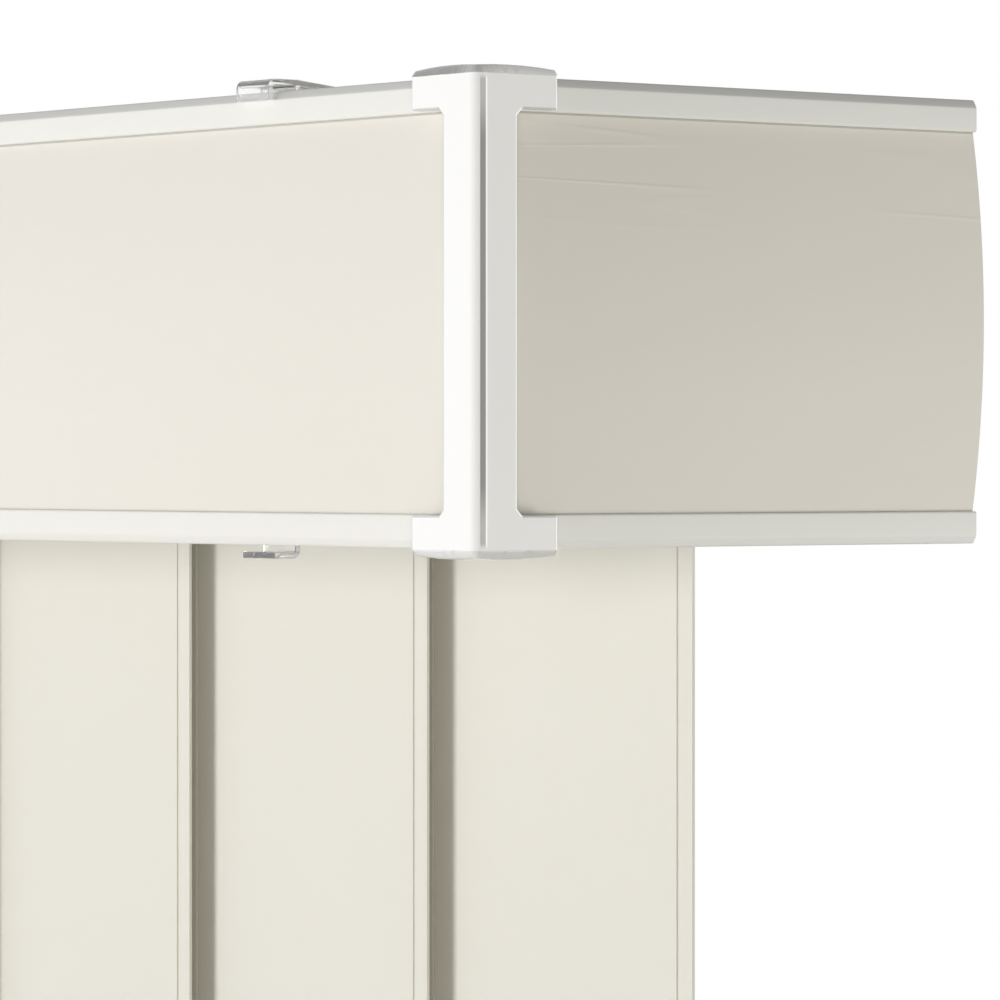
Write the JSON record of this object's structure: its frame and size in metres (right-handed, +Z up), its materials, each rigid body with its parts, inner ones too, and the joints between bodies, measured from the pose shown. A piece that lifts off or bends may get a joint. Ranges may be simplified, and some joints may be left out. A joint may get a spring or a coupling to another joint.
{
  "type": "vertical blind",
  "caption": "Wall-hung vertical blind with a bowed cream valance, clear corner mouldings and plain hanging vanes that tilt together and draw aside along a headrail by a wand.",
  "frame": {"origin": "on the wall, in the middle of the four bracket screw holes", "axes": "+X to the right as seen from the room, +Y into the wall, +Z up"},
  "size_m": [0.7524, 0.1213, 0.9153],
  "materials": {
    "vane": "smooth cream, satin",
    "insert": "smooth cream, satin",
    "channel": "ivory, semi-gloss",
    "corner": "frosted white gloss",
    "clear": "clear, glossy",
    "rail": "satin",
    "steel": "zinc grey",
    "spring": "bright strip",
    "fitting": "off-white, matt",
    "wand": "clear, glossy",
    "grip": "ivory, semi-gloss"
  },
  "bodies": {
    "headrail": {"headrail": "rail", "end_cap_left": "fitting", "end_cap_right": "fitting", "bracket_left": "steel", "bracket_right": "steel", "bracket_latch_left": "spring", "bracket_latch_right": "spring", "valance_front": "channel", "valance_return_left": "channel", "valance_return_right": "channel", "insert_front": "insert", "insert_return_left": "insert", "insert_return_right": "insert", "corner_left": "corner", "corner_right": "corner", "valance_clip_left": "clear", "valance_clip_middle": "clear", "valance_clip_right": "clear", "carrier_9": "fitting", "spacer_8": "spring"},
    "carrier_1": {"carrier_1": "fitting"},
    "carrier_2": {"carrier_2": "fitting", "spacer_1": "spring"},
    "carrier_3": {"carrier_3": "fitting", "spacer_2": "spring"},
    "carrier_4": {"carrier_4": "fitting", "spacer_3": "spring"},
    "carrier_5": {"carrier_5": "fitting", "spacer_4": "spring"},
    "carrier_6": {"carrier_6": "fitting", "spacer_5": "spring"},
    "carrier_7": {"carrier_7": "fitting", "spacer_6": "spring"},
    "carrier_8": {"carrier_8": "fitting", "spacer_7": "spring"},
    "vane_1": {"stem_1": "clear", "vane_1": "vane"},
    "vane_2": {"stem_2": "clear", "vane_2": "vane"},
    "vane_3": {"stem_3": "clear", "vane_3": "vane"},
    "vane_4": {"stem_4": "clear", "vane_4": "vane"},
    "vane_5": {"stem_5": "clear", "vane_5": "vane"},
    "vane_6": {"stem_6": "clear", "vane_6": "vane"},
    "vane_7": {"stem_7": "clear", "vane_7": "vane"},
    "vane_8": {"stem_8": "clear", "vane_8": "vane"},
    "vane_9": {"stem_9": "clear", "vane_9": "vane"},
    "tilt_rod": {"tilt_rod": "rail"},
    "wand_yoke": {"wand_yoke": "clear"},
    "wand": {"wand_rod": "wand", "wand_grip": "grip"}
  },
  "joints": [
    {"name": "traverse", "type": "slide", "parent": "headrail", "child": "carrier_1", "axis": [1, 0, 0], "range_m": [0, 0.408]},
    {"name": "traverse_2", "type": "slide", "parent": "headrail", "child": "carrier_2", "axis": [1, 0, 0], "range_m": [0, 0.357]},
    {"name": "traverse_3", "type": "slide", "parent": "headrail", "child": "carrier_3", "axis": [1, 0, 0], "range_m": [0, 0.306]},
    {"name": "traverse_4", "type": "slide", "parent": "headrail", "child": "carrier_4", "axis": [1, 0, 0], "range_m": [0, 0.255]},
    {"name": "traverse_5", "type": "slide", "parent": "headrail", "child": "carrier_5", "axis": [1, 0, 0], "range_m": [0, 0.204]},
    {"name": "traverse_6", "type": "slide", "parent": "headrail", "child": "carrier_6", "axis": [1, 0, 0], "range_m": [0, 0.153]},
    {"name": "traverse_7", "type": "slide", "parent": "headrail", "child": "carrier_7", "axis": [1, 0, 0], "range_m": [0, 0.102]},
    {"name": "traverse_8", "type": "slide", "parent": "headrail", "child": "carrier_8", "axis": [1, 0, 0], "range_m": [0, 0.051]},
    {"name": "tilt", "type": "hinge", "parent": "carrier_1", "child": "vane_1", "pos_m": [-0.316, -0.056, -0.02], "axis": [0, 0, -1], "range_deg": [0, 172]},
    {"name": "tilt_2", "type": "hinge", "parent": "carrier_2", "child": "vane_2", "pos_m": [-0.237, -0.056, -0.02], "axis": [0, 0, -1], "range_deg": [0, 172]},
    {"name": "tilt_3", "type": "hinge", "parent": "carrier_3", "child": "vane_3", "pos_m": [-0.158, -0.056, -0.02], "axis": [0, 0, -1], "range_deg": [0, 172]},
    {"name": "tilt_4", "type": "hinge", "parent": "carrier_4", "child": "vane_4", "pos_m": [-0.079, -0.056, -0.02], "axis": [0, 0, -1], "range_deg": [0, 172]},
    {"name": "tilt_5", "type": "hinge", "parent": "carrier_5", "child": "vane_5", "pos_m": [0, -0.056, -0.02], "axis": [0, 0, -1], "range_deg": [0, 172]},
    {"name": "tilt_6", "type": "hinge", "parent": "carrier_6", "child": "vane_6", "pos_m": [0.079, -0.056, -0.02], "axis": [0, 0, -1], "range_deg": [0, 172]},
    {"name": "tilt_7", "type": "hinge", "parent": "carrier_7", "child": "vane_7", "pos_m": [0.158, -0.056, -0.02], "axis": [0, 0, -1], "range_deg": [0, 172]},
    {"name": "tilt_8", "type": "hinge", "parent": "carrier_8", "child": "vane_8", "pos_m": [0.237, -0.056, -0.02], "axis": [0, 0, -1], "range_deg": [0, 172]},
    {"name": "tilt_9", "type": "hinge", "parent": "headrail", "child": "vane_9", "pos_m": [0.316, -0.056, -0.02], "axis": [0, 0, -1], "range_deg": [0, 172]},
    {"name": "rod_spin", "type": "hinge", "parent": "headrail", "child": "tilt_rod", "pos_m": [0, -0.056, 0.003], "axis": [1, 0, 0], "range_deg": [0, 344]},
    {"name": "wand_swing", "type": "hinge", "parent": "carrier_1", "child": "wand_yoke", "pos_m": [-0.357, -0.086, -0.0206], "axis": [-1, 0, 0], "range_deg": [0, 20]},
    {"name": "wand_twist", "type": "hinge", "parent": "wand_yoke", "child": "wand", "pos_m": [-0.357, -0.086, -0.04], "axis": [0, 0, -1], "range_deg": [0, 344]}
  ],
  "couplings": [
    {"joint": "traverse_2", "follows": "traverse", "ratio": 0.875},
    {"joint": "traverse_3", "follows": "traverse", "ratio": 0.75},
    {"joint": "traverse_4", "follows": "traverse", "ratio": 0.625},
    {"joint": "traverse_5", "follows": "traverse", "ratio": 0.5},
    {"joint": "traverse_6", "follows": "traverse", "ratio": 0.375},
    {"joint": "traverse_7", "follows": "traverse", "ratio": 0.25},
    {"joint": "traverse_8", "follows": "traverse", "ratio": 0.125},
    {"joint": "tilt_2", "follows": "tilt", "ratio": 1},
    {"joint": "tilt_3", "follows": "tilt", "ratio": 1},
    {"joint": "tilt_4", "follows": "tilt", "ratio": 1},
    {"joint": "tilt_5", "follows": "tilt", "ratio": 1},
    {"joint": "tilt_6", "follows": "tilt", "ratio": 1},
    {"joint": "tilt_7", "follows": "tilt", "ratio": 1},
    {"joint": "tilt_8", "follows": "tilt", "ratio": 1},
    {"joint": "tilt_9", "follows": "tilt", "ratio": 1},
    {"joint": "rod_spin", "follows": "tilt", "ratio": 2},
    {"joint": "wand_twist", "follows": "tilt", "ratio": 2}
  ]
}
